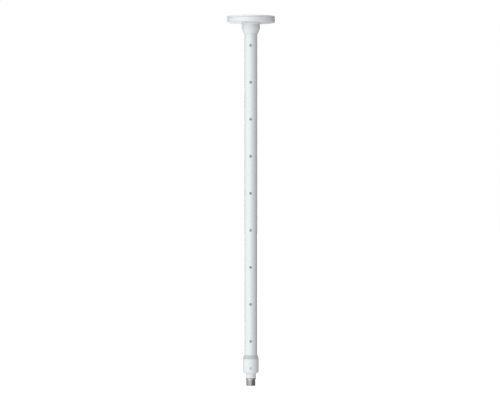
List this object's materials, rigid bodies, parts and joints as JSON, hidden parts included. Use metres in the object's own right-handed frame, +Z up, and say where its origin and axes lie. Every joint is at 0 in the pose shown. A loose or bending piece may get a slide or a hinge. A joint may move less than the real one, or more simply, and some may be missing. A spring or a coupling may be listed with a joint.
{
  "type": "ceiling omnidirectional antenna",
  "caption": "Ceiling-hung omnidirectional antenna: a round mounting plate with a sliding cover, a slim white radome tube and a threaded coaxial jack held by a union collar.",
  "frame": {"origin": "centre of the mounting plate's ceiling face, the centre of its circle of screw holes", "axes": "+Z up into the ceiling along the tube's axis; -Y is the front, the side with the spacer screws"},
  "size_m": [0.08, 0.08, 0.6127],
  "materials": {
    "plate_paint": "satin white powder coat",
    "hardware_steel": "plain stainless steel",
    "bare_aluminium": "bare turned aluminium",
    "canopy_plastic": "moulded white plastic, soft gloss",
    "black_rubber": "moulded black rubber",
    "radome_gloss": "white fibreglass with a smooth gel coat",
    "screw_nylon": "grey nylon",
    "rod_brass": "drawn brass",
    "ptfe": "turned PTFE",
    "coil_copper": "enamelled copper wire, soldered ends",
    "grey_seal": "light grey moulded rubber",
    "collar_paint": "satin white powder coat on aluminium",
    "jack_nickel": "dull nickel plate on brass",
    "contact_gold": "gold plate on brass"
  },
  "bodies": {
    "root": {"mounting_plate": "plate_paint", "hanger_screw": "hardware_steel", "plug_cross_pins": "hardware_steel", "top_plug": "bare_aluminium", "thread_sleeve": "bare_aluminium", "head_o_ring": "black_rubber", "jack_gasket": "black_rubber", "radome_tube": "radome_gloss", "spacer_screws": "screw_nylon", "radiator_tip": "rod_brass", "radiator_1": "rod_brass", "radiator_2": "rod_brass", "radiator_3": "rod_brass", "radiator_4": "rod_brass", "radiator_5": "rod_brass", "radiator_6": "rod_brass", "radiator_7": "rod_brass", "radiator_8": "rod_brass", "feed_rod": "rod_brass", "matching_sleeve": "rod_brass", "spacer_1": "ptfe", "spacer_2": "ptfe", "spacer_3": "ptfe", "spacer_4": "ptfe", "spacer_5": "ptfe", "spacer_6": "ptfe", "spacer_7": "ptfe", "spacer_8": "ptfe", "spacer_9": "ptfe", "feed_insulator": "ptfe", "jack_insulator": "ptfe", "phasing_coil_1": "coil_copper", "phasing_coil_2": "coil_copper", "phasing_coil_3": "coil_copper", "phasing_coil_4": "coil_copper", "phasing_coil_5": "coil_copper", "phasing_coil_6": "coil_copper", "phasing_coil_7": "coil_copper", "phasing_coil_8": "coil_copper", "phasing_coil_9": "coil_copper", "weather_seal": "grey_seal", "connector_head": "collar_paint", "jack_shell": "jack_nickel", "jack_contact": "contact_gold"},
    "canopy_ring": {"grip_ring": "black_rubber"},
    "canopy_shell": {"canopy": "canopy_plastic", "canopy_grub_screw": "hardware_steel"},
    "slip_ring": {"slip_washer": "ptfe"},
    "collar": {"union_collar": "collar_paint", "collar_grub_screw": "hardware_steel"}
  },
  "joints": [
    {"name": "canopy_slide", "type": "slide", "parent": "root", "child": "canopy_ring", "axis": [0, 0, -1], "range_m": [0, 0.53]},
    {"name": "canopy_turn", "type": "hinge", "parent": "canopy_ring", "child": "canopy_shell", "pos_m": [0, 0, -0.017], "axis": [0, 0, 1], "continuous": true},
    {"name": "collar_travel", "type": "slide", "parent": "root", "child": "slip_ring", "axis": [0, 0, -1], "range_m": [0, 0.006]},
    {"name": "collar_turn", "type": "hinge", "parent": "slip_ring", "child": "collar", "pos_m": [0, 0, -0.5805], "axis": [0, 0, 1], "range_deg": [0, 1440]}
  ],
  "couplings": [
    {"joint": "collar_travel", "follows": "collar_turn", "m_per_rad": 0.00023873}
  ]
}
